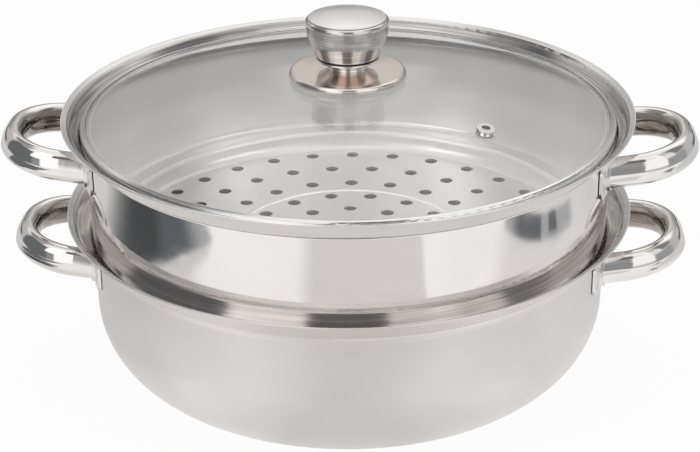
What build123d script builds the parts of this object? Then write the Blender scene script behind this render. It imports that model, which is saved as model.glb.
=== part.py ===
from build123d import *
import math
import os

# Two-tier steamer pot in millimetres.
# Origin: centre of the pot's flat base. +Z is up, the handles lie along X and the front faces -Y.

# Rolled-out lips, shared by the pot and the steamer tier
rim_r = 140.0
lip_w = 3.3
lip_slope = 25.0
lip_bend = 5.0
flare_slope = 50.0

# Pot
pot_gauge = 0.7
pot_flare_w = 12.2
pot_rim_z = 87.0
pot_corner_bend = 41.0
pot_crease_bend = 6.0

# Steamer tier
tier_gauge = 0.6
tier_flare_w = 11.5
tier_height = 61.2
tier_crease_bend = 1.4
shoulder_w = 10.0
shoulder_slope = 8.0
shoulder_bend = 3.0
neck_drop = 9.2
neck_slope = 85.0
neck_bend = 2.0
floor_bend = 6.6
bead_place_share = 0.4928
bead_w = 4.0
bead_h = 0.45
bead_side_w = 1.4
bead_bend = 1.0

# Steam holes: shares of the floor's radius, and each ring has this count more than the ring inside it
hole_r = 3.4
ring_hole_count = 5
hole_turn = 1.0
hole_ring_shares = (0.1402, 0.2804, 0.4282, 0.5744, 0.7426, 0.9108)

# Gap that every loose seat keeps, so that one tier lifts off the other freely
seat_gap = 0.3

# Hollow loop handles
handle_half_w = 5.8
handle_half_h = 7.7
handle_gauge = 0.8
handle_crease_share = 0.35
handle_face_bulge = 1.1
handle_leg_y = 31.0
handle_bend = 28.0
handle_bend_share = 0.98
handle_tilt = 8.5
pot_handle_length = 40.8
pot_handle_drop = 23.3
tier_handle_length = 43.3
tier_handle_drop = 21.5

# Bracket plates between the handle legs and the walls
bracket_w = 33.0
bracket_h = 18.0
bracket_corner = 5.0
bracket_gauge = 1.2
bracket_gap = 0.3
weld_pad_r = 1.6
weld_pad_inset = 5.0
weld_bead_w = 1.3
weld_bead_h = 1.4
weld_gap = 0.1

# Glass lid
dome_r = 430.0
glass_gauge = 4.0
glass_edge_bend = 0.8
lid_inset = 8.8
band_gauge = 0.5
band_side_gap = 0.7
band_bend = 1.8
band_gap = 0.1
band_top_w = 2.3
band_under_w = 6.0
vent_place_share = 0.6385
vent_angle = -37.5
vent_bore_r = 2.0
vent_tube_r = 2.8
vent_gap = 0.2
vent_flange_r = 4.8
vent_flange_h = 0.9
vent_seat_gap = 0.05

# Knob, from the glass upwards
gasket_r = 11.0
gasket_h = 0.8
knob_base_gauge = 1.0
flange_lift = 0.5
flange_r = 28.6
flange_rim_h = 2.2
flange_crown_h = 1.4
flange_bend = 1.7
knob_neck_r = 8.7
knob_neck_h = 1.2
funnel_inset = 0.1
funnel_h = 4.2
knob_line_h = 0.6
knob_line_inset = 0.5
cup_gauge = 0.7
cup_foot_share = 0.7356
cup_waist_share = 0.9423
cup_waist_h = 10.5
cup_top_r = 20.8
cup_h = 19.0
cup_foot_bend = 1.4
cup_bend = 30.0
cup_lip_w = 2.8
cup_lip_bend = 2.0
cap_inset = 1.9
cap_gauge = 0.8
cap_crown_h = 2.3
cap_skirt_h = 0.3
cap_bend = 0.25
cap_seam_h = 0.15
core_gap = 0.1

# Fastening, from the glass downwards
screw_r = 2.5
screw_clearance = 0.2
screw_head_r = 4.8
screw_head_h = 2.8
screw_head_bend = 0.9
screw_slot_w = 1.2
screw_slot_h = 1.3
screw_grip = 8.0
insert_r = 4.2
insert_h = 10.0
insert_flange_r = 5.4
insert_flange_h = 1.5
thread_gap = 0.02
washer_r = 9.0
washer_h = 1.0
spring_washer_r = 4.5
spring_washer_h = 1.3
spring_washer_split = 1.2
stack_gap = 0.02

# Overrun of every cutting tool
overrun = 5.0


def heading(start, end):
    """Direction in degrees from one outline point to the next."""
    return math.degrees(math.atan2(end[1] - start[1], end[0] - start[0]))


def beside(corners, bends, gap):
    """The same bent outline, moved gap to its left: its corners and its bend radii."""
    turns = [heading(a, b) for a, b in zip(corners, corners[1:])]
    moved = []
    for i, (r, z) in enumerate(corners):
        first = math.radians(turns[max(i - 1, 0)])
        second = math.radians(turns[min(i, len(turns) - 1)])
        stretch = gap / (1 + math.cos(first - second))
        moved.append((r - stretch * (math.sin(first) + math.sin(second)),
                      z + stretch * (math.cos(first) + math.cos(second))))
    new_bends = []
    for bend, before, after in zip(bends, turns, turns[1:]):
        new_bends.append(bend - gap if after > before else bend + gap)
    return moved, new_bends


def round_end(start, end, away_from):
    """Half-round end of a sheet, bulging away from the sheet's own direction."""
    half = math.dist(start, end) / 2
    angle = math.radians(heading(away_from, start))
    centre = ((start[0] + end[0]) / 2, (start[1] + end[1]) / 2)
    middle = (centre[0] + half * math.cos(angle), centre[1] + half * math.sin(angle))
    return ThreePointArc(start, middle, end)


def turned_sheet(corners, bends, gauge, round_first=True, round_last=True):
    """Sheet of one gauge turned about Z. Its outer face follows corners, and its metal lies to the left."""
    left, left_bends = beside(corners, bends, gauge)
    outer = FilletPolyline(*corners, radius=bends)
    inner = FilletPolyline(*reversed(left), radius=list(reversed(left_bends)))
    last = Line(corners[-1], left[-1])
    if round_last:
        last = round_end(corners[-1], left[-1], corners[-2])
    first = Line(left[0], corners[0])
    if round_first:
        first = round_end(left[0], corners[0], left[1])
    face = make_face([*outer.edges(), *last.edges(), *inner.edges(), *first.edges()])
    return revolve(Plane.XZ * face, axis=Axis.Z)


def turned_block(corners, bends=None):
    """Solid turned about Z from a closed outline of straight lines, with a bend at each corner if given."""
    outline = Polyline(*corners, close=True)
    if bends:
        outline = FilletPolyline(*corners, radius=bends, close=True)
    return revolve(Plane.XZ * make_face(outline), axis=Axis.Z)


def disc(outer_r, inner_r, bottom_z, height):
    """Flat ring with its underside at bottom_z."""
    return turned_block([(inner_r, bottom_z), (outer_r, bottom_z),
                         (outer_r, bottom_z + height), (inner_r, bottom_z + height)])


def rod(radius, bottom_z, height):
    """Round bar on the pot's axis with its lower end at bottom_z."""
    return Pos(0, 0, bottom_z) * Cylinder(radius, height, align=(Align.CENTER, Align.CENTER, Align.MIN))


def slope(degrees):
    """Rise for each unit of run."""
    return math.tan(math.radians(degrees))


def stand_back(bend, first, second, face):
    """How far a bend between two directions stands back from its sharp corner, square to a face."""
    toward = math.cos(math.radians(face - first)) + math.cos(math.radians(face - second))
    return bend * (toward / (1 + math.cos(math.radians(first - second))) - 1)


def lip_corners(wall_r, rim_z, gauge):
    """Outer corners of a flare and its lip: flare foot, lip foot and lip edge."""
    lip_z = rim_z - gauge
    lip_foot = (rim_r - lip_w, lip_z - lip_w * slope(lip_slope))
    flare_foot = (wall_r, lip_foot[1] - (lip_foot[0] - wall_r) * slope(flare_slope))
    return [flare_foot, lip_foot, (rim_r, lip_z)]


def seat_height(flare_foot, gauge, corner_r, corner_back):
    """Height at which a rounded corner rests on the inside of a flare, one seat gap off it."""
    lift = (gauge - corner_back + seat_gap) / math.cos(math.radians(flare_slope))
    return flare_foot[1] + (corner_r - flare_foot[0]) * slope(flare_slope) + lift


def dome_drop(radius, sphere_r):
    """How far a dome of sphere_r falls from its centre out to radius."""
    return sphere_r - math.sqrt(sphere_r ** 2 - radius ** 2)


quarter_turn = math.degrees(math.pi / 2)
half_turn = math.degrees(math.pi)

# Radii that follow the lips
pot_wall_r = rim_r - pot_flare_w
tier_wall_r = rim_r - tier_flare_w
band_r = rim_r - lid_inset
glass_r = band_r - band_gauge - band_side_gap

# Heights of the seats, worked out from the pot upwards
pot_lip = lip_corners(pot_wall_r, pot_rim_z, pot_gauge)
shoulder_back = stand_back(shoulder_bend, shoulder_slope, quarter_turn, flare_slope)
shoulder_z = seat_height(pot_lip[0], pot_gauge, tier_wall_r, shoulder_back)
neck_top = (tier_wall_r - shoulder_w, shoulder_z - shoulder_w * slope(shoulder_slope))
neck_foot = (neck_top[0] - neck_drop / slope(neck_slope), neck_top[1] - neck_drop)
floor_z = neck_foot[1]
tier_rim_z = shoulder_z + tier_height
tier_lip = lip_corners(tier_wall_r, tier_rim_z, tier_gauge)

# The band's legs lie along the glass, so they take the slope that the dome has at its edge
edge_slope = math.degrees(math.asin(glass_r / dome_r))
band_back = stand_back(band_bend, -edge_slope, quarter_turn, flare_slope)
band_z = seat_height(tier_lip[0], tier_gauge, band_r, band_back)
band_lift = (band_gauge + band_gap) / math.cos(math.radians(edge_slope))
under_edge_z = band_z + (band_r - glass_r) * slope(edge_slope) + band_lift
under_r = dome_r - glass_gauge
dome_z = under_edge_z + dome_drop(glass_r, under_r) + glass_gauge
under_z = dome_z - glass_gauge
band_top_z = dome_z - dome_drop(glass_r, dome_r) - (band_r - glass_r) * slope(edge_slope) + band_lift


def make_pot_body():
    """Drawn pot: flat base, bowl corner, straight wall, flare and lip."""
    corners = [(0, 0), (pot_wall_r, 0), *pot_lip]
    bends = [pot_corner_bend, pot_crease_bend, lip_bend]
    return turned_sheet(corners, bends, pot_gauge, round_first=False)


def steam_holes():
    """Punches for the rings of steam holes. The ring's number sets its count."""
    punches = []
    for ring, share in enumerate(hole_ring_shares, start=1):
        radius = share * neck_foot[0]
        count = ring * ring_hole_count
        first = hole_turn + (quarter_turn if ring % 2 == 0 else -quarter_turn)
        for place in range(count):
            angle = math.radians(first) + math.tau * place / count
            centre = Pos(radius * math.cos(angle), radius * math.sin(angle), floor_z)
            punches.append(centre * Cylinder(hole_r, overrun))
    return punches


def make_steamer_body():
    """Drawn tier: pierced floor with a stiffening bead, neck, shoulder, wall, flare and lip."""
    bead_r = bead_place_share * neck_foot[0]
    bead_in = bead_r - bead_w / 2
    bead_out = bead_r + bead_w / 2
    corners = [(0, floor_z), (bead_in, floor_z), (bead_in + bead_side_w, floor_z + bead_h),
               (bead_out - bead_side_w, floor_z + bead_h), (bead_out, floor_z),
               neck_foot, neck_top, (tier_wall_r, shoulder_z), *tier_lip]
    bends = [bead_bend, bead_bend, bead_bend, bead_bend,
             floor_bend, neck_bend, shoulder_bend, tier_crease_bend, lip_bend]
    return turned_sheet(corners, bends, tier_gauge, round_first=False) - steam_holes()


def handle_section(grow):
    """Handle's cross-section: x points out of the loop, y up. The outer face has one soft crease."""
    half_w = handle_half_w + grow
    half_h = handle_half_h + grow
    crease_y = -handle_crease_share * half_h
    crease = (half_w, crease_y)
    foot = (0, -half_h)
    chord = math.radians(heading(foot, crease))
    bulge = (half_w / 2 + handle_face_bulge * math.sin(chord),
             (crease_y - half_h) / 2 - handle_face_bulge * math.cos(chord))
    upper = EllipticalCenterArc((0, crease_y), half_w, half_h - crease_y, arc_size=quarter_turn)
    inner = EllipticalCenterArc((0, 0), half_w, half_h, quarter_turn, arc_size=half_turn)
    lower = ThreePointArc(foot, bulge, crease)
    return make_face([*upper.edges(), *inner.edges(), *lower.edges()])


def handle_loop(wall_r, leg_z, length, grow):
    """Solid loop on the right side: two legs and a rounded bow, swept from one section."""
    tilt = math.radians(handle_tilt)
    loop_plane = Plane(origin=(wall_r, 0, leg_z), x_dir=(math.cos(tilt), 0, math.sin(tilt)),
                       z_dir=(-math.sin(tilt), 0, math.cos(tilt)))
    bow = (length - handle_half_w) / math.cos(tilt)
    bend = min(handle_bend, handle_bend_share * min(bow, handle_leg_y))
    route = loop_plane * FilletPolyline((-overrun, handle_leg_y), (bow, handle_leg_y),
                                        (bow, -handle_leg_y), (-overrun, -handle_leg_y), radius=bend)
    start = Plane(origin=route @ 0, x_dir=loop_plane.y_dir, z_dir=route % 0)
    return sweep(start * handle_section(grow), path=route)


def make_handle(wall_r, leg_z, length):
    """Hollow loop with open ends, cut to lie against its two bracket plates."""
    plate_r = wall_r + bracket_gap + bracket_gauge
    loop = handle_loop(wall_r, leg_z, length, 0) - handle_loop(wall_r, leg_z, length, -handle_gauge)
    return loop - Pos(0, 0, leg_z) * Cylinder(plate_r + weld_gap, bracket_h + 2 * overrun)


def make_bracket(wall_r, leg_z, length):
    """Rear right plate: curved sheet, pads welded to the wall, and the weld bead round the leg."""
    inner_r = wall_r + bracket_gap
    plate_r = inner_r + bracket_gauge
    angle = math.degrees(math.asin(handle_leg_y / plate_r))
    aim = Pos(0, 0, leg_z) * Rot(0, 0, angle) * Rot(0, quarter_turn, 0)
    blank = aim * extrude(RectangleRounded(bracket_h, bracket_w, bracket_corner), plate_r + overrun)
    height = bracket_h + 2 * overrun
    tube = Pos(0, 0, leg_z) * (Cylinder(plate_r, height) - Cylinder(inner_r, height))
    plate = tube & blank
    pad_z = bracket_h / 2 - weld_pad_inset
    pad_y = bracket_w / 2 - weld_pad_inset
    pads = []
    for z in (-pad_z, pad_z):
        for y in (-pad_y, pad_y):
            pads.append(aim * Pos(z, y, 0) * extrude(Circle(weld_pad_r), plate_r))
    pad_tube = Pos(0, 0, leg_z) * (Cylinder(inner_r + bracket_gauge / 2, height)
                                   - Cylinder(wall_r, height))
    leg = handle_loop(wall_r, leg_z, length, weld_bead_w) - handle_loop(wall_r, leg_z, length, weld_gap)
    bead_tube = Pos(0, 0, leg_z) * (Cylinder(plate_r + weld_bead_h, height)
                                    - Cylinder(plate_r - bracket_gauge / 2, height))
    rear_half = Pos(wall_r, 0, leg_z) * Box(2 * wall_r, 2 * wall_r, height,
                                            align=(Align.CENTER, Align.MIN, Align.CENTER))
    bead = leg & bead_tube & rear_half
    return plate + [pad_tube & pad for pad in pads] + bead


def make_lid_glass():
    """Domed glass of even thickness, bored for the screw and the vent."""
    top = Pos(0, 0, dome_z - dome_r) * Sphere(dome_r)
    under = Pos(0, 0, dome_z - dome_r) * Sphere(under_r)
    blank_z = under_z - dome_drop(glass_r, under_r) - overrun
    shell = (top & rod(glass_r, blank_z, dome_z - blank_z + overrun)) - under
    shell = fillet(shell.edges().filter_by(Plane.XY), glass_edge_bend)
    screw_bore = rod(screw_r + screw_clearance, under_z - overrun, glass_gauge + 2 * overrun)
    vent_bore = vent_plane() * Cylinder(vent_tube_r + vent_gap, glass_gauge + 2 * overrun)
    return shell - screw_bore - vent_bore


def vent_plane():
    """Plane square to the dome at the vent, with its origin halfway through the glass."""
    angle = math.radians(vent_angle)
    tilt = math.asin(vent_place_share * glass_r / dome_r)
    out = Vector(math.sin(tilt) * math.cos(angle), math.sin(tilt) * math.sin(angle), math.cos(tilt))
    centre = Vector(0, 0, dome_z - dome_r) + out * (dome_r - glass_gauge / 2)
    return Plane(origin=centre, z_dir=out)


def make_vent_eyelet():
    """Rolled steel eyelet: a tube through the glass with a flange on each face."""
    half = glass_gauge / 2 + vent_seat_gap
    outline = [(vent_bore_r, -half - vent_flange_h), (vent_flange_r, -half - vent_flange_h),
               (vent_flange_r, -half), (vent_tube_r, -half), (vent_tube_r, half), (vent_flange_r, half),
               (vent_flange_r, half + vent_flange_h), (vent_bore_r, half + vent_flange_h)]
    eyelet = turned_block(outline)
    ends = eyelet.edges().filter_by(Plane.XY).group_by(SortBy.RADIUS)[-1].sort_by(Axis.Z)
    return vent_plane() * fillet([ends[0], ends[-1]], vent_flange_h / 2)


def make_rim_band():
    """C-shaped channel crimped round the glass edge. Its legs follow the dome's slope."""
    under_leg = (band_r - band_under_w, band_z + band_under_w * slope(edge_slope))
    top_leg = (band_r - band_top_w, band_top_z + band_top_w * slope(edge_slope))
    corners = [under_leg, (band_r, band_z), (band_r, band_top_z), top_leg]
    return turned_sheet(corners, [band_bend, band_bend], band_gauge)


# Levels of the knob's pieces above the glass
base_z = dome_z + gasket_h
flange_z = dome_z + flange_lift
neck_z = flange_z + flange_rim_h + flange_crown_h
funnel_z = neck_z + knob_neck_h
core_z = funnel_z + funnel_h
cup_z = core_z + knob_line_h
cup_top_z = cup_z + cup_h
cup_foot_r = cup_foot_share * cup_top_r
cup_waist_r = cup_waist_share * cup_top_r
funnel_r = cup_foot_r - funnel_inset
funnel_corners = [(knob_neck_r, funnel_z), (funnel_r, core_z - knob_base_gauge)]
cup_corners = [(cup_foot_r - knob_line_inset - cup_gauge, cup_z), (cup_foot_r, cup_z),
               (cup_waist_r, cup_z + cup_waist_h), (cup_top_r, cup_top_z),
               (cup_top_r - cup_lip_w, cup_top_z)]
cup_bends = [cup_foot_bend, cup_bend, cup_lip_bend]


def make_gasket_upper():
    """Soft disc between the glass and the knob's base, resting on the crown of the dome."""
    return disc(gasket_r, screw_r + screw_clearance, dome_z + stack_gap, gasket_h - 2 * stack_gap)


def make_knob_base():
    """Polished sheet: wide flange, neck and funnel, closed below by a foot on the gasket."""
    corners = [(flange_r, flange_z), (flange_r, flange_z + flange_rim_h),
               (knob_neck_r, neck_z), *funnel_corners]
    bends = [flange_bend, knob_base_gauge, knob_base_gauge]
    shell = turned_sheet(corners, bends, knob_base_gauge)
    boss_r = knob_neck_r - knob_base_gauge / 2
    boss = disc(boss_r, screw_r + screw_clearance, base_z, funnel_z - base_z)
    return shell + boss


def make_knob_core():
    """Heat-resistant core. It fills the cup, and its edge shows as a thin dark line under it."""
    neck_inside = knob_neck_r - knob_base_gauge - core_gap
    funnel_inside, _ = beside([(knob_neck_r, neck_z), *funnel_corners], [0], knob_base_gauge + core_gap)
    line_r = cup_foot_r - knob_line_inset
    cup_inside, inside_bends = beside(cup_corners, cup_bends, cup_gauge + core_gap)
    foot_z = funnel_z + stack_gap
    outline = [(0, foot_z), (neck_inside, foot_z), *funnel_inside[1:],
               (funnel_inside[2][0], core_z + stack_gap), (line_r, core_z + stack_gap),
               (line_r, cup_z - stack_gap), (cup_corners[0][0] - core_gap, cup_z - stack_gap), cup_inside[0]]
    bends = [0] * len(outline) + inside_bends + [0]
    outline += [*cup_inside[1:4], (0, cup_inside[3][1])]
    pocket = rod(insert_r + core_gap, funnel_z - overrun, insert_h + overrun + core_gap)
    seat = rod(insert_flange_r + core_gap, funnel_z - overrun, insert_flange_h + overrun + core_gap)
    return turned_block(outline, bends) - pocket - seat


def make_knob_insert():
    """Threaded insert with a flange at its foot, let into the core."""
    foot_z = funnel_z + stack_gap
    body = rod(insert_r, foot_z, insert_h) + rod(insert_flange_r, foot_z, insert_flange_h)
    return body - rod(screw_r + thread_gap, funnel_z - overrun, insert_h + 2 * overrun)


def make_knob_cup():
    """Polished cup with bellied sides and a rounded top edge, standing on the core's edge."""
    return turned_sheet(cup_corners, cup_bends, cup_gauge, round_first=False, round_last=False)


def make_knob_cap():
    """Satin sheet cap, slightly crowned, with a short skirt set in from the cup's edge."""
    cap_r = cup_top_r - cap_inset
    crown_r = (cap_r ** 2 + cap_crown_h ** 2) / (2 * cap_crown_h)
    foot_z = cup_top_z + cap_seam_h
    height = cap_skirt_h + cap_crown_h
    centre = Pos(0, 0, foot_z + height - crown_r)
    outside = rod(cap_r, foot_z, height + overrun) & centre * Sphere(crown_r)
    outside = fillet(outside.edges().filter_by(Plane.XY).sort_by(Axis.Z)[-1], cap_bend)
    hollow = rod(cap_r - cap_gauge, foot_z - overrun, height + overrun)
    return outside - (hollow & centre * Sphere(crown_r - cap_gauge))


def make_gasket_lower():
    """Soft disc under the glass, below the hollow of the dome."""
    return disc(gasket_r, screw_r + screw_clearance, washer_z() + washer_h + stack_gap, gasket_h)


def washer_z():
    """Underside of the plain washer, one gasket below the glass at the gasket's edge."""
    return under_z - dome_drop(gasket_r, under_r) - gasket_h - washer_h - 2 * stack_gap


def make_knob_washer():
    """Plain washer under the lower gasket."""
    return disc(washer_r, screw_r + screw_clearance, washer_z(), washer_h)


def make_spring_washer():
    """Split washer between the screw's head and the plain washer."""
    bottom_z = washer_z() - spring_washer_h - stack_gap
    ring = disc(spring_washer_r, screw_r + screw_clearance, bottom_z, spring_washer_h)
    split = Pos(spring_washer_r, 0, bottom_z) * Box(2 * spring_washer_r, spring_washer_split, overrun)
    return ring - split


def make_knob_screw():
    """Slotted screw from below the lid up into the insert."""
    head_top_z = washer_z() - spring_washer_h - 2 * stack_gap
    head = rod(screw_head_r, head_top_z - screw_head_h, screw_head_h)
    shank = rod(screw_r, head_top_z, funnel_z + screw_grip - head_top_z)
    head = fillet(head.edges().filter_by(Plane.XY).sort_by(Axis.Z)[0], screw_head_bend)
    slot = Box(2 * screw_head_r + overrun, screw_slot_w, 2 * screw_slot_h)
    return head + shank - Pos(0, 0, head_top_z - screw_head_h) * slot


def tier_fittings(name, wall_r, rim_z, drop, length):
    """Handles and bracket plates of one tier, as named solids."""
    leg_z = rim_z - drop
    handle = make_handle(wall_r, leg_z, length)
    bracket = make_bracket(wall_r, leg_z, length)
    front = mirror(bracket, about=Plane.XZ)
    return {
        f"{name}_handle_right": handle,
        f"{name}_handle_left": mirror(handle, about=Plane.YZ),
        f"{name}_bracket_right_rear": bracket,
        f"{name}_bracket_right_front": front,
        f"{name}_bracket_left_rear": mirror(bracket, about=Plane.YZ),
        f"{name}_bracket_left_front": mirror(front, about=Plane.YZ),
    }


pieces = {
    "pot_body": make_pot_body(),
    **tier_fittings("pot", pot_wall_r, pot_rim_z, pot_handle_drop, pot_handle_length),
    "steamer_body": make_steamer_body(),
    **tier_fittings("steamer", tier_wall_r, tier_rim_z, tier_handle_drop, tier_handle_length),
    "lid_glass": make_lid_glass(),
    "lid_rim_band": make_rim_band(),
    "lid_vent_eyelet": make_vent_eyelet(),
    "lid_gasket_upper": make_gasket_upper(),
    "lid_gasket_lower": make_gasket_lower(),
    "knob_base": make_knob_base(),
    "knob_core": make_knob_core(),
    "knob_insert": make_knob_insert(),
    "knob_cup": make_knob_cup(),
    "knob_top_cap": make_knob_cap(),
    "knob_washer": make_knob_washer(),
    "knob_spring_washer": make_spring_washer(),
    "knob_screw": make_knob_screw(),
}

os.makedirs("parts", exist_ok=True)
for name, solid in pieces.items():
    solid.label = name
    export_step(solid, f"parts/{name}.step")
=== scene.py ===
import bpy
import math
from collections import namedtuple
from mathutils import Matrix, Vector


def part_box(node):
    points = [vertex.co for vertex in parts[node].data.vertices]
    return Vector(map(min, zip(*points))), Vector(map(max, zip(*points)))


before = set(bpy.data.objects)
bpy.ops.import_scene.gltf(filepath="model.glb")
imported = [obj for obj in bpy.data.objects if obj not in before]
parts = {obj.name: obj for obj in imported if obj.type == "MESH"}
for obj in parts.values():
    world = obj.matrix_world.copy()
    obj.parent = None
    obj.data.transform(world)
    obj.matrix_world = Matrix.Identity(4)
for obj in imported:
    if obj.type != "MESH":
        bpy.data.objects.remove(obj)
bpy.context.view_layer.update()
scene = bpy.context.scene
scene.view_settings.view_transform = "Standard"

WHITE = (1, 1, 1, 1)
NEAR_AXIS = 0.0001                  # least radius that is divided by, in metres
CLEAR_OF_WALL = (0.0002, 0.0014)    # how far past a wall's radius its flare starts and is whole
MIDDLE = (0.3, 0.7)                 # where most values of a noise lie


class Nodes:
    """A node tree, put together one node at a time."""

    def __init__(self, tree):
        self.tree = tree
        tree.nodes.clear()

    def add(self, kind, **settings):
        node = self.tree.nodes.new(kind)
        for key, value in settings.items():
            setattr(node, key, value)
        return node

    def link(self, source, target):
        self.tree.links.new(source, target)

    def feed(self, socket, value):
        if isinstance(value, bpy.types.NodeSocket):
            self.link(value, socket)
        else:
            socket.default_value = value

    def feed_all(self, node, *values):
        for socket, value in zip(node.inputs, values):
            self.feed(socket, value)
        return node.outputs[0]

    def calc(self, operation, *values):
        return self.feed_all(self.add("ShaderNodeMath", operation=operation), *values)

    def square(self, value):
        return self.calc("MULTIPLY", value, value)

    def distance(self, across, along):
        return self.calc("SQRT", self.calc("ADD", self.square(across), self.square(along)))

    def split(self, vector):
        node = self.add("ShaderNodeSeparateXYZ")
        self.feed(node.inputs[0], vector)
        return node.outputs

    def join(self, x, y, z):
        return self.feed_all(self.add("ShaderNodeCombineXYZ"), x, y, z)

    def spread(self, value, low, high, to_low, to_high):
        """The value's range low to high, laid smoothly over to_low to to_high, and held past it."""
        node = self.add("ShaderNodeMapRange", interpolation_type="SMOOTHSTEP")
        return self.feed_all(node, value, low, high, to_low, to_high)

    def blend(self, share, first, second):
        """Mix of two colours."""
        node = self.add("ShaderNodeMix", data_type="RGBA")
        self.feed(node.inputs["Factor"], share)
        self.feed(node.inputs[6], first)
        self.feed(node.inputs[7], second)
        return node.outputs[2]

    def between(self, share, first, second):
        """Mix of two numbers."""
        node = self.add("ShaderNodeMix")
        self.feed(node.inputs["Factor"], share)
        self.feed(node.inputs[2], first)
        self.feed(node.inputs[3], second)
        return node.outputs[0]

    def noise(self, vector, scale, detail=2.0, rough=0.5, w=None):
        node = self.add("ShaderNodeTexNoise", noise_dimensions="3D" if w is None else "4D")
        self.feed(node.inputs["Vector"], vector)
        self.feed(node.inputs["Scale"], scale)
        self.feed(node.inputs["Detail"], detail)
        self.feed(node.inputs["Roughness"], rough)
        if w is not None:
            self.feed(node.inputs["W"], w)
        return node.outputs[0]

    def shader(self, kind, colour, strength=None):
        node = self.add(kind)
        self.feed(node.inputs["Color"], colour)
        if strength is not None:
            self.feed(node.inputs["Strength"], strength)
        return node.outputs[0]

    def either(self, share, first, second):
        """Mix of two shaders."""
        return self.feed_all(self.add("ShaderNodeMixShader"), share, first, second)

    def seen_share(self, amount):
        """Amount for rays that look at the stage: the camera's and those from metal or glass."""
        path = self.add("ShaderNodeLightPath").outputs
        sent_on = self.calc("MAXIMUM", path["Is Glossy Ray"], path["Is Transmission Ray"])
        return self.calc("MULTIPLY", self.calc("MAXIMUM", path["Is Camera Ray"], sent_on), amount)


class Paint(Nodes):
    """A material's nodes, with the place and the normal of each point in the frame's metres."""

    def __init__(self, name):
        self.material = bpy.data.materials.new(name)
        self.material.use_nodes = True
        super().__init__(self.material.node_tree)
        self.output = self.add("ShaderNodeOutputMaterial").inputs["Surface"]
        coordinates = self.add("ShaderNodeTexCoord")
        self.place = coordinates.outputs["Object"]
        self.normal = coordinates.outputs["Normal"]
        self.x, self.y, self.z = self.split(self.place)

    def radius(self):
        return self.distance(self.x, self.y)


class Finish(Paint):
    """A piece's surface, with the patterns that metal, moulding and glass share."""

    def __init__(self, name):
        super().__init__(name)
        self.surface = self.add("ShaderNodeBsdfPrincipled")
        self.link(self.surface.outputs[0], self.output)

    def set(self, **values):
        """Values for the surface's sockets, by name with spaces written as underscores."""
        for key, value in values.items():
            self.feed(self.surface.inputs[key.replace("_", " ")], value)

    def so_far(self, socket):
        """What already feeds that socket of the surface."""
        return self.surface.inputs[socket].links[0].from_socket

    def ring_grain(self, fine, turn, detail=3.0):
        """Grain round the Z axis: fine lines per metre across it, slow change along it."""
        radius = self.calc("MAXIMUM", self.radius(), NEAR_AXIS)
        across = self.calc("MULTIPLY", self.calc("DIVIDE", self.x, radius), turn)
        along = self.calc("MULTIPLY", self.calc("DIVIDE", self.y, radius), turn)
        height = self.calc("MULTIPLY", self.z, fine)
        return self.noise(self.join(across, along, height), 1.0, detail, 0.6,
                          w=self.calc("MULTIPLY", radius, fine))

    def waviness(self):
        return self.noise(self.place, 28.0, 2.0)

    def worn(self, rough, grain, span):
        """Roughness with faint handling marks, and a little more or less of it along the grain."""
        smear = self.noise(self.place, 75.0, 4.0, 0.6)
        marks = self.spread(smear, 0.5, 0.75, 0.0, span)
        lines = self.spread(grain, *MIDDLE, -span / 2, span / 2)
        return self.calc("ADD", rough, self.calc("ADD", marks, lines))

    def outward(self):
        """How far a face looks away from the Z axis: 1 outside a wall, 0 on a floor, -1 inside."""
        nx, ny, _ = self.split(self.normal)
        radius = self.calc("MAXIMUM", self.radius(), NEAR_AXIS)
        dot = self.calc("ADD", self.calc("MULTIPLY", nx, self.x), self.calc("MULTIPLY", ny, self.y))
        return self.calc("DIVIDE", dot, radius)

    def facing_in(self):
        """1 on the faces that look up or towards the Z axis, 0 on those that look the other way."""
        _, _, nz = self.split(self.normal)
        return self.spread(self.calc("SUBTRACT", self.outward(), nz), -0.3, 0.3, 1.0, 0.0)

    def past_wall(self, wall_r):
        start, whole = CLEAR_OF_WALL
        return self.spread(self.radius(), wall_r + start, wall_r + whole, 0.0, 1.0)

    def bumps(self, *layers):
        """Relief over what is there, each layer a height with its strength and depth in metres."""
        normal = self.surface.inputs["Normal"]
        for height, strength, depth in layers:
            node = self.add("ShaderNodeBump")
            self.feed(node.inputs["Height"], height)
            self.feed(node.inputs["Strength"], strength)
            self.feed(node.inputs["Distance"], depth)
            if normal.is_linked:
                self.link(normal.links[0].from_socket, node.inputs["Normal"])
            self.link(node.outputs[0], normal)

    def brushed_round(self, amount):
        """Stretches the highlights across grain that runs round the Z axis."""
        tangent = self.add("ShaderNodeTangent", direction_type="RADIAL", axis="Z")
        self.link(tangent.outputs[0], self.surface.inputs["Tangent"])
        self.surface.inputs["Anisotropic"].default_value = amount


def dress(finish, *names):
    for name in names:
        for place in parts[name].material_slots:
            place.material = finish.material


def named(*words):
    return [name for name in parts if all(word in name for word in words)]


# ---------------------------------------------------------------- materials

GRAIN_LINES = 2500.0    # per metre, across the fine grain of drawn and polished sheet
GRAIN_TURN = 3.0        # how often that grain changes on its way round
WAVE_DEPTH = 0.0006
GRAIN_DEPTH = 0.00003


def steel(name, light, dark, rough, span, lines=GRAIN_LINES, turn=GRAIN_TURN, brushed=0.0,
          relief=0.15, wave=0.2, metallic=1.0, turned=False):
    """Stainless steel with grain round the Z axis, a slow waviness and faint handling marks. On
    turned steel the grain also shows as darker and lighter rings."""
    s = Finish(name)
    grain = s.ring_grain(lines, turn)
    slow = s.waviness()
    tone = s.spread(grain if turned else slow, *MIDDLE, 0.0, 1.0)
    s.set(Metallic=metallic, Base_Color=s.blend(tone, dark, light),
          Roughness=s.worn(rough, grain, span))
    s.bumps((slow, wave, WAVE_DEPTH), (grain, relief, GRAIN_DEPTH))
    if brushed:
        s.brushed_round(brushed)
    return s


Area = namedtuple("Area", "colour rough relief metallic")


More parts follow.
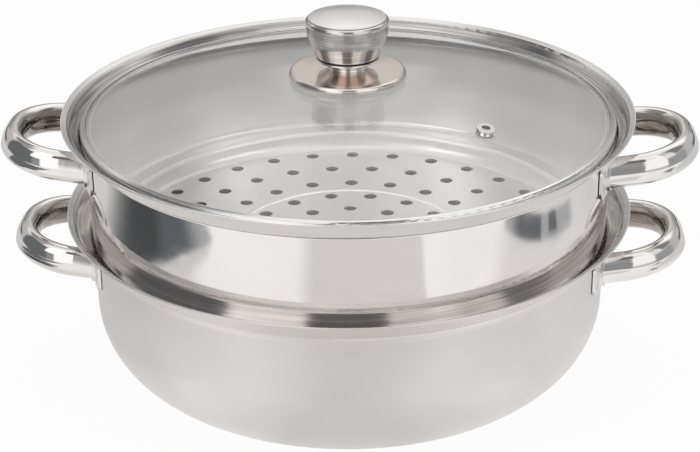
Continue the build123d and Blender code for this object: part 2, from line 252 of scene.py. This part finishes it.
def vessel_steel(name, wall_r, ringed, outside, inside, flat, flare, under, brushed=0.0):
    """Drawn sheet of a pot or tier. It differs outside, inside, on the flat floor, on the polished
    flare above the wall, where the spinning tool has left faint rings, and under that flare. Some
    of these areas' colours are painted light and painted shade, as said where each vessel gets
    them."""
    s = Finish(name)
    _, _, nz = s.split(s.normal)
    past_wall = s.past_wall(wall_r)
    on_flare = s.calc("MULTIPLY", past_wall, s.spread(s.outward(), -0.55, -0.30, 1.0, 0.0))
    looks_down = s.spread(nz, -0.95, -0.90, 1.0, 0.0)
    leans_down = s.calc("MULTIPLY", past_wall, s.spread(nz, -0.45, -0.25, 1.0, 0.0))
    layers = ((s.facing_in(), inside), (s.spread(nz, 0.93, 0.98, 0.0, 1.0), flat),
              (on_flare, flare), (s.calc("MAXIMUM", looks_down, leans_down), under))

    def by_place(field):
        mix = s.blend if field == "colour" else s.between
        value = getattr(outside, field)
        for share, area in layers:
            value = mix(share, value, getattr(area, field))
        return value

    grain = s.ring_grain(GRAIN_LINES, GRAIN_TURN)
    rings = s.ring_grain(520.0, 1.2, 2.0)
    slow = s.waviness()
    dark_rings = s.calc("MULTIPLY", on_flare, s.spread(rings, 0.36, 0.64, ringed, 0.0))
    shaded = s.add("ShaderNodeVectorMath", operation="SCALE")
    s.link(by_place("colour"), shaded.inputs[0])
    s.link(s.calc("SUBTRACT", s.spread(slow, *MIDDLE, 0.95, 1.0), dark_rings),
           shaded.inputs["Scale"])
    s.set(Base_Color=shaded.outputs[0], Metallic=by_place("metallic"),
          Roughness=s.worn(by_place("rough"), grain, 0.04))
    s.bumps((slow, 0.15, WAVE_DEPTH), (grain, by_place("relief"), GRAIN_DEPTH),
            (rings, s.calc("MULTIPLY", on_flare, 0.8), 0.00012))
    if brushed:
        s.brushed_round(brushed)
    return s


WELD_ACROSS = 0.0115    # each plate's four spot welds, from the middle of the plate
WELD_UP = 0.004
HEAT_TINT = (0.50, 0.47, 0.43, 1)


def plate_steel(name, bearing, height):
    """Satin bracket plate with a ring of heat tint and a dimple at each of its spot welds."""
    s = steel(name, (0.80, 0.79, 0.775, 1), (0.74, 0.73, 0.715, 1), 0.24, 0.06)
    side = s.calc("SUBTRACT", s.calc("MULTIPLY", s.calc("ABSOLUTE", s.y), math.cos(bearing)),
                  s.calc("MULTIPLY", s.calc("ABSOLUTE", s.x), math.sin(bearing)))
    across = s.calc("SUBTRACT", s.calc("ABSOLUTE", side), WELD_ACROSS)
    rise = s.calc("SUBTRACT", s.z, height)
    away = s.distance(across, s.calc("SUBTRACT", s.calc("ABSOLUTE", rise), WELD_UP))
    tint = s.spread(away, 0.0012, 0.0028, 0.55, 0.0)
    s.set(Base_Color=s.blend(tint, s.so_far("Base Color"), HEAT_TINT))
    s.bumps((s.spread(away, 0.0010, 0.0018, 0.0, 1.0), 0.8, 0.0002))
    return s


LOOP_MIDDLE_X = 0.147   # the middle of each handle's loop, left and right
# painted shade for the inner side of each handle's loop
LOOP_INNER_SHADE = (0.30, 0.265, 0.235, 1)


def loop_steel(name):
    """Mirror-polished handle, with painted shade in streaks on the inner side of each loop."""
    s = steel(name, (0.86, 0.835, 0.815, 1), (0.80, 0.775, 0.755, 1), 0.08, 0.04,
              relief=0.05, wave=0.22)
    nx, ny, _ = s.split(s.normal)
    from_middle = s.calc("SUBTRACT", s.calc("ABSOLUTE", s.x), LOOP_MIDDLE_X)
    away = s.distance(from_middle, s.y)
    sideways = s.calc("MULTIPLY", s.calc("MULTIPLY", nx, s.calc("SIGN", s.x)), from_middle)
    dot = s.calc("ADD", sideways, s.calc("MULTIPLY", ny, s.y))
    outward = s.calc("DIVIDE", dot, s.calc("MAXIMUM", away, 0.001))
    lines = s.join(s.calc("MULTIPLY", away, 150.0), s.calc("MULTIPLY", s.z, 900.0), 0.0)
    streaks = s.spread(s.noise(lines, 1.0, 3.0, 0.6), *MIDDLE, 0.75, 1.0)
    # painted shade: faces that look towards the loop's middle get the dark colour, in streaks
    share = s.calc("MULTIPLY", s.spread(outward, -0.85, -0.45, 1.0, 0.0), streaks)
    s.set(Base_Color=s.blend(share, s.so_far("Base Color"), LOOP_INNER_SHADE))
    return s


CHANNEL_SLOPE = 0.317   # the band's channel leans like the edge of the glass in it


def band_finish():
    """Polished band. Inside, its channel is dull where the glass stands in it."""
    s = steel("band_polished_steel", (0.84, 0.835, 0.83, 1), (0.80, 0.795, 0.79, 1), 0.14, 0.05,
              brushed=0.3)
    low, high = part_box("lid_rim_band")
    level = s.calc("ADD", s.z, s.calc("MULTIPLY", s.radius(), CHANNEL_SLOPE))
    bottom = low[2] + CHANNEL_SLOPE * high[0]
    channel = s.calc("MULTIPLY", s.spread(level, bottom + 0.0022, bottom + 0.0030, 1.0, 0.0),
                     s.facing_in())
    dull = s.calc("MULTIPLY", channel, 0.5)
    s.set(Roughness=s.calc("MAXIMUM", s.so_far("Roughness"), dull),
          Metallic=s.spread(channel, 0.0, 1.0, 1.0, 0.1))
    return s


def moulded(name, light, dark, rough, scale):
    """Moulded soft or hard plastic with a fine stipple."""
    s = Finish(name)
    stipple = s.noise(s.place, scale, 3.0)
    cloud = s.noise(s.place, 60.0, 2.0)
    s.set(Base_Color=s.blend(cloud, dark, light),
          Roughness=s.spread(cloud, *MIDDLE, rough - 0.06, rough + 0.06))
    s.bumps((stipple, 0.3, 0.0001))
    return s


GROUND_EDGE = (0.1272, 0.1285)  # radii where the ground edge of the glass starts and is whole


def tempered_glass():
    """Clear glass with a slow waviness, wiping marks and a ground edge. Lamps shine through it."""
    s = Finish("clear_tempered_glass")
    slow = s.noise(s.place, 12.0, 1.0)
    wipe = s.noise(s.place, 60.0, 4.0, 0.65)
    edge = s.spread(s.radius(), *GROUND_EDGE, 0.0, 0.35)
    s.set(Base_Color=(0.99, 0.99, 0.988, 1), Transmission_Weight=1.0, IOR=1.5,
          Roughness=s.calc("ADD", edge, s.spread(wipe, 0.55, 0.8, 0.0, 0.04)))
    s.bumps((slow, 0.05, 0.0004))
    shadow_ray = s.add("ShaderNodeLightPath").outputs["Is Shadow Ray"]
    clear = s.shader("ShaderNodeBsdfTransparent", (0.93, 0.95, 0.945, 1))
    s.link(s.either(shadow_ray, s.surface.outputs[0], clear), s.output)
    return s


# Inside, the pot's near-white colour is painted light in its hollow.
pot_inside = Area((0.97, 0.96, 0.95, 1), 0.25, 0.05, 0.30)
pot_finish = vessel_steel(
    "pot_satin_steel", wall_r=0.1278, ringed=0.25, brushed=0.55,
    outside=Area((0.715, 0.69, 0.675, 1), 0.30, 0.22, 1.0), inside=pot_inside, flat=pot_inside,
    flare=Area((0.93, 0.92, 0.915, 1), 0.09, 0.05, 1.0),
    under=Area((0.86, 0.83, 0.815, 1), 0.26, 0.10, 0.9))
dress(pot_finish, "pot_body")

tier_finish = vessel_steel(
    "tier_polished_steel", wall_r=0.1285, ringed=0.42,
    outside=Area((0.88, 0.845, 0.828, 1), 0.07, 0.10, 1.0),
    # Inside and on the floor the sheet is satin. Its whiter colour there is painted light in the
    # hollow under the glass.
    inside=Area((0.98, 0.97, 0.962, 1), 0.22, 0.04, 0.28),
    flat=Area((0.93, 0.915, 0.905, 1), 0.20, 0.04, 0.55),
    # The flare's colour, darker than the outside's, is painted shade.
    flare=Area((0.80, 0.785, 0.775, 1), 0.13, 0.05, 1.0),
    # Under the flare and the floor, the near-white, nearly matt colour is painted light on faces
    # that look down.
    under=Area((0.96, 0.935, 0.92, 1), 0.40, 0.05, 0.15))
dress(tier_finish, "steamer_body")

dress(loop_steel("handle_polished_steel"), *named("handle"))

for tier in ("pot", "steamer"):
    low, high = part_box(f"{tier}_bracket_right_rear")
    bearing = math.atan2((low[1] + high[1]) / 2, (low[0] + high[0]) / 2)
    plate_finish = plate_steel(f"{tier}_bracket_satin_steel", bearing, (low[2] + high[2]) / 2)
    dress(plate_finish, *named(tier, "bracket"))

dress(band_finish(), "lid_rim_band")

eyelet_finish = steel("eyelet_steel", (0.84, 0.84, 0.84, 1), (0.78, 0.78, 0.78, 1), 0.16, 0.05)
dress(eyelet_finish, "lid_vent_eyelet")

base_finish = steel("knob_mirror_steel", (0.86, 0.805, 0.77, 1), (0.82, 0.765, 0.73, 1), 0.14, 0.03,
                    wave=0.08)
dress(base_finish, "knob_base")

cup_finish = steel("knob_turned_steel", (0.80, 0.775, 0.755, 1), (0.58, 0.56, 0.545, 1), 0.09, 0.06,
                   lines=1100.0, turn=0.8, relief=0.9, wave=0.05, turned=True)
dress(cup_finish, "knob_cup")

cap_finish = steel("knob_cap_satin_steel", (0.88, 0.865, 0.855, 1), (0.84, 0.825, 0.815, 1), 0.30,
                   0.05, brushed=0.6, relief=0.3, wave=0.05, metallic=0.70)
dress(cap_finish, "knob_top_cap")

zinc = steel("zinc_screw_steel", (0.72, 0.72, 0.74, 1), (0.60, 0.60, 0.62, 1), 0.28, 0.08)
dress(zinc, "knob_screw", "knob_washer", "knob_spring_washer")

brass = steel("turned_brass", (0.80, 0.63, 0.36, 1), (0.72, 0.55, 0.30, 1), 0.26, 0.08)
dress(brass, "knob_insert")

core_black = moulded("core_matt_black", (0.035, 0.035, 0.036, 1), (0.022, 0.022, 0.023, 1), 0.55,
                     3000.0)
dress(core_black, "knob_core")

seal = moulded("silicone_seal", (0.80, 0.80, 0.78, 1), (0.72, 0.72, 0.70, 1), 0.50, 1800.0)
dress(seal, "lid_gasket_upper", "lid_gasket_lower")

dress(tempered_glass(), "lid_glass")


# ---------------------------------------------------------------- stage

def disc(name, corners, radius, height):
    bpy.ops.mesh.primitive_circle_add(vertices=corners, radius=radius, fill_type="NGON",
                                      location=(0, 0, height))
    made = bpy.context.object
    made.name = name
    return made


# The floor is white to the rays that look at it, and a pale matt grey that lights the pot
floor = disc("studio_floor", 128, 6.0, -0.0002)
floor_paint = bpy.data.materials.new("floor_paint")
floor_paint.use_nodes = True
floor_paint.cycles.emission_sampling = "NONE"
nodes = Nodes(floor_paint.node_tree)
matt = nodes.shader("ShaderNodeBsdfDiffuse", (0.92, 0.92, 0.92, 1))
white = nodes.shader("ShaderNodeEmission", WHITE, 1.0)
seen = nodes.either(nodes.seen_share(0.95), matt, white)
nodes.link(seen, nodes.add("ShaderNodeOutputMaterial").inputs["Surface"])
floor.data.materials.append(floor_paint)


def grey(level, cool=0.0):
    """Grey of one level. Cool turns it a little to blue, and a negative value to cream."""
    return (level * (1 - cool), level, level * (1 + cool), 1)


def soft(low, high, edge):
    """A zone's four numbers, from the middles of its two edges and their width."""
    return (low - edge / 2, low + edge / 2, high - edge / 2, high + edge / 2)


class Glow(Paint):
    """Brightness that only polished surfaces see, in soft-edged zones laid over each other."""

    def __init__(self, name, colour):
        super().__init__(name)
        self.material.cycles.emission_sampling = "NONE"
        self.colour = colour

    def bearing(self):
        """Degrees round the pot: 0 at the back, 90 at the right, 180 in front, -90 at the left."""
        return self.calc("DEGREES", self.calc("ARCTAN2", self.x, self.y))

    def turned_from(self, bearing, middle):
        """Degrees from that middle, between -180 and 180."""
        return self.calc("WRAP", self.calc("SUBTRACT", bearing, middle), 180, -180)

    def edges(self, value, zone):
        """1 between the zone's middle two numbers, falling smoothly to 0 at its outer two."""
        rise = self.spread(value, zone[0], zone[1], 0.0, 1.0)
        fall = self.spread(value, zone[2], zone[3], 1.0, 0.0)
        return self.calc("MULTIPLY", rise, fall)

    def zone(self, colour, first, first_zone, second, second_zone):
        share = self.calc("MULTIPLY", self.edges(first, first_zone),
                          self.edges(second, second_zone))
        self.colour = self.blend(share, self.colour, colour)

    def show_on(self, thing):
        """Puts the colour on a stage object that shows in reflections, and not through glass."""
        bounces = self.add("ShaderNodeLightPath").outputs["Glossy Depth"]
        mirrored = self.calc("MINIMUM", bounces, 1.0)
        nothing = self.shader("ShaderNodeBsdfTransparent", WHITE)
        glow = self.shader("ShaderNodeEmission", self.colour)
        self.link(self.either(mirrored, nothing, glow), self.output)
        thing.data.materials.append(self.material)
        thing.visible_camera = False
        thing.visible_diffuse = False
        thing.visible_shadow = False


# The tent: a grey room with soft windows in front, dark sides and a bright top. Each zone has its
# level, its bearings and heights in degrees, the width of its soft edge, and how cool it is
TENT_RADIUS = 3.0
ANY_TURN = -999
tent_zones = [
    (0.95, (-200, 200), (64, 100), 8, -0.01),       # top
    (1.12, (-60, 60), (36, 66), 12, -0.01),         # back, high
    (0.34, (-36, 36), (-10, 24), 8, -0.01),         # back, low
    (0.14, (-58, 58), (-10, 8), 5, -0.01),          # foot of the back
    (0.65, (-9, 5), (17, 36), 4, -0.04),            # pale strip at the back
    (0.30, (-142, -124), (-10, 24), 6, 0.03),       # under the left window
    (0.15, (-126, -68), (-10, 46), 6, 0.05),        # left side
    (0.36, (-100, -60), (46, 60), 6, 0.0),          # left side, high
    (0.26, (-62, -24), (40, 62), 8, 0.0),           # back left, high
    (0.23, (70, 100), (30, 58), 7, 0.02),           # right side, high
    (0.60, (100, 120), (46, 58), 6, 0.0),           # front right, high
    (0.36, (80, 120), (-10, 26), 7, 0.02),          # right side, low
    (1.22, (-172, -140), (0, 66), 4, 0.0),          # left window
    (1.22, (-142, -120), (24, 66), 4, 0.0),         # left window, outer part
    (0.97, (-122, -100), (46, 66), 5, -0.03),       # left window, high
    (1.08, (120, 160), (6, 66), 4, 0.0),            # right window
    (0.90, (134, 160), (46, 58), 6, 0.0),           # right window, high
    (0.85, (100, 121), (26, 46), 6, -0.02),         # right window, outer part
    (0.16, (157, 201.5), (43, 60), 3, 0.0),         # front, above the camera
    (0.34, (164, 187), (22, 44), 4, 0.02),          # front, at the camera
    (0.30, (160, 188), (-10, 24), 5, 0.0),          # front, under the camera
]
bpy.ops.mesh.primitive_uv_sphere_add(segments=96, ring_count=48, radius=TENT_RADIUS,
                                     location=(0, 0, 0))
tent = bpy.context.object
tent.name = "tent"
paint = Glow("tent_paint", grey(0.53, -0.01))
bearing = paint.bearing()
rise = paint.calc("DEGREES", paint.calc("ARCSINE", paint.calc("DIVIDE", paint.z, TENT_RADIUS)))
for level, (first, last), heights, edge, cool in tent_zones:
    off = paint.calc("ABSOLUTE", paint.turned_from(bearing, (first + last) / 2))
    paint.zone(grey(level, cool), off, soft(ANY_TURN, (last - first) / 2, edge),
               rise, soft(*heights, edge))
paint.show_on(tent)

# The ground as metal sees it: bright in front, grey behind, with dark cards beside the tier. Each
# zone has its colour and, in metres or degrees, the edges that it has in two coordinates
ground = disc("ground", 96, 2.9, 0.0002)
paint = Glow("ground_paint", grey(0.68))
x, y, radius = paint.x, paint.y, paint.radius()
sector = paint.turned_from(paint.bearing(), 172.5)
lean = paint.calc("MULTIPLY", paint.calc("MAXIMUM", paint.calc("SUBTRACT", -0.17, y), 0.0), 0.22)
leaning_x = paint.calc("SUBTRACT", x, lean)
close_round = (-2, -1, 0.262, 0.275)
ground_zones = [
    (grey(0.76, -0.01), x, (-0.28, -0.22, 0.42, 0.48), y, (-0.21, -0.17, 0.02, 0.14)),
    (grey(0.97, 0.0), x, soft(-9, 9, 1), y, (-9, -8, -0.205, -0.155)),
    (grey(0.92, -0.01), radius, close_round, y, (-9, -8, -0.02, 0.10)),
    (grey(0.80, -0.01), radius, close_round, x, (-0.05, -0.02, 0.03, 0.07)),
    (grey(1.04, 0.0), x, (-0.155, -0.125, -0.085, -0.050), y, (-0.22, -0.20, -0.12, -0.08)),
    (grey(1.02, 0.0), x, (0.070, 0.095, 0.125, 0.160), y, (-0.22, -0.20, -0.12, -0.08)),
    (grey(0.77, -0.01), x, (-0.26, -0.24, -0.17, -0.09), y, (-0.12, -0.05, 0.2, 0.3)),
    (grey(0.15, 0.05), x, (-9, -8, -0.50, -0.44), y, soft(-0.9, 0.12, 0.06)),
    (grey(0.25, 0.05), x, soft(0.57, 0.90, 0.05), y, soft(-0.42, -0.24, 0.05)),
    (grey(0.71, -0.01), sector, (-21.5, -19.5, 17.0, 24.0), radius, (0.25, 0.28, 0.59, 0.61)),
    (grey(0.70, 0.0), x, (-0.33, -0.31, -0.262, -0.248), y, (-0.245, -0.220, -0.15, -0.09)),
    (grey(0.42, 0.04), leaning_x, (-0.46, -0.43, -0.284, -0.279),
     y, (-0.256, -0.238, -0.18, -0.15)),
    (grey(0.13, 0.11), leaning_x, (-0.46, -0.43, -0.284, -0.280), y, (-0.235, -0.175, -0.05, 0.12)),
    (grey(0.075, 0.05), leaning_x, (-0.46, -0.43, -0.284, -0.280), y, (-0.13, -0.09, -0.05, 0.12)),
    (grey(0.42, 0.04), x, (0.312, 0.322, 0.352, 0.360), y, (-0.195, -0.175, 0.015, 0.045)),
    (grey(0.14, 0.09), x, (0.312, 0.320, 0.350, 0.357), y, (-0.175, -0.140, -0.080, -0.073)),
    (grey(0.14, 0.07), x, (0.321, 0.327, 0.352, 0.360), y, (-0.056, -0.049, -0.029, -0.022)),
]
for zone in ground_zones:
    paint.zone(*zone)
paint.show_on(ground)


# ---------------------------------------------------------------- light and camera

world = bpy.data.worlds.new("studio")
scene.world = world
world.use_nodes = True
nodes = Nodes(world.node_tree)
lighting = nodes.shader("ShaderNodeBackground", WHITE, 0.62)
backdrop = nodes.shader("ShaderNodeBackground", WHITE, 1.0)
sky = nodes.either(nodes.seen_share(1.0), lighting, backdrop)
nodes.link(sky, nodes.add("ShaderNodeOutputWorld").inputs["Surface"])
world.cycles_visibility.glossy = False

POT_MIDDLE = Vector((0, 0, 0.08))


def softbox(name, place, width, height, level):
    """Soft rectangular lamp aimed at the pot. Level is its own brightness, where 1 is white."""
    lamp = bpy.data.lights.new(name, "AREA")
    lamp.shape = "RECTANGLE"
    lamp.size = width
    lamp.size_y = height
    lamp.energy = level * math.pi * width * height
    thing = bpy.data.objects.new(name, lamp)
    scene.collection.objects.link(thing)
    thing.location = place
    thing.rotation_euler = (POT_MIDDLE - Vector(place)).to_track_quat("-Z", "Y").to_euler()
    thing.visible_glossy = False
    return thing


softbox("left_softbox", (-1.3, -0.9, 1.1), 0.9, 1.1, 1.5)
softbox("right_softbox", (1.4, -0.6, 1.1), 0.8, 1.0, 1.2)
overhead = softbox("top_softbox", (0.0, 0.5, 1.9), 1.4, 0.9, 1.4)
overhead.visible_transmission = False   # else the tier's floor mirrors it through the glass

# The camera stands where the photographer's did, and leans a little
eye = Vector((0.03398, -0.8461, 0.4642))
target = Vector((0.0, 0.0, 0.071))
lean = math.radians(0.48)
ahead = (target - eye).normalized()
right = ahead.cross(Vector((0, 0, 1))).normalized()
up = right.cross(ahead)
leaning_right = right * math.cos(lean) - up * math.sin(lean)
leaning_up = right * math.sin(lean) + up * math.cos(lean)
camera_data = bpy.data.cameras.new("camera")
camera_data.sensor_fit = "HORIZONTAL"
camera_data.sensor_width = 36.0
camera_data.lens = 94.83
camera_data.shift_x = 0.00154
camera_data.clip_start = 0.05
camera = bpy.data.objects.new("camera", camera_data)
scene.collection.objects.link(camera)
turn = Matrix((leaning_right, leaning_up, -ahead)).transposed().to_4x4()
camera.matrix_world = Matrix.Translation(eye) @ turn
scene.camera = camera
